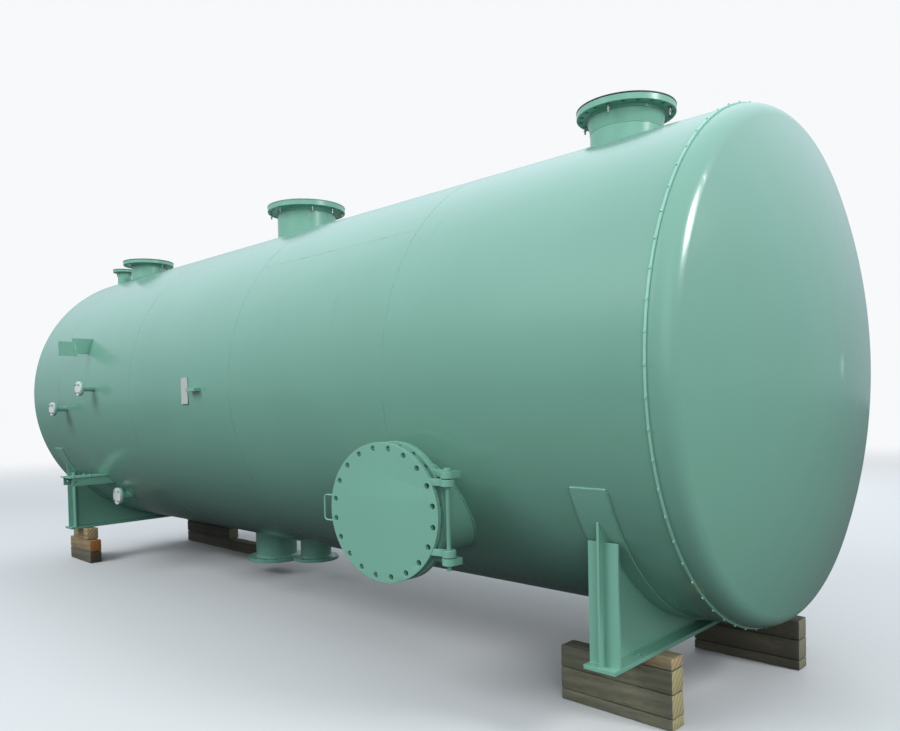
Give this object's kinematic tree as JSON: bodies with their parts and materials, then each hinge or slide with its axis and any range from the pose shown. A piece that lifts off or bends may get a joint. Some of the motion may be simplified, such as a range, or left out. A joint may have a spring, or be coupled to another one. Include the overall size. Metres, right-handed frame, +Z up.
{
  "type": "horizontal pressure tank",
  "caption": "Horizontal cylindrical pressure tank with dished ends, flanged nozzles and a hinged manway cover, on two saddles that stand on timbers.",
  "frame": {"origin": "middle of the whole part, on the floor", "axes": "+X along the tank towards the end with the manway, -Y towards the side with the manway, +Z up"},
  "size_m": [9.3254, 3.4788, 4.005],
  "materials": {
    "green_paint": "satin",
    "dark_cover": "matte",
    "pale_face": "satin",
    "bare_plate": "satin",
    "timber": "matte"
  },
  "bodies": {
    "tank": {"shell_course_1": "green_paint", "shell_course_2": "green_paint", "shell_course_3": "green_paint", "shell_course_4": "green_paint", "shell_course_5": "green_paint", "head_left": "green_paint", "head_right": "green_paint", "seam_ring": "green_paint", "manway_neck": "green_paint", "manway_flange": "green_paint", "flange_leaves": "green_paint", "hinge_rod": "green_paint", "top_a_neck": "green_paint", "top_a_flange": "green_paint", "top_lids": "dark_cover", "top_b_neck": "green_paint", "top_b_flange": "green_paint", "top_c_neck": "green_paint", "top_c_flange": "green_paint", "top_d_neck": "green_paint", "top_d_flange": "green_paint", "low_a_neck": "green_paint", "low_a_flange": "green_paint", "low_b_neck": "green_paint", "low_b_flange": "green_paint", "side_pipes": "green_paint", "side_flanges": "green_paint", "side_blinds": "pale_face", "plate_bracket": "green_paint", "name_plate": "green_paint", "label_plate": "bare_plate", "side_lug": "green_paint", "shelf_plate": "green_paint", "shelf_arms": "green_paint", "wear_plates": "green_paint", "saddle_webs": "green_paint", "saddle_ribs": "green_paint", "saddle_bases": "green_paint", "timbers_lowest": "timber", "timbers_lower": "timber", "timbers_upper": "timber", "timber_blocks": "timber"},
    "cover": {"manway_cover": "green_paint", "cover_handle": "green_paint", "cover_leaves": "green_paint"}
  },
  "joints": [
    {"name": "manway_hinge", "type": "hinge", "parent": "tank", "child": "cover", "pos_m": [3.039, -1.60152, 1.233], "axis": [0, 0, 1], "range_deg": [-7.5, 90]}
  ]
}
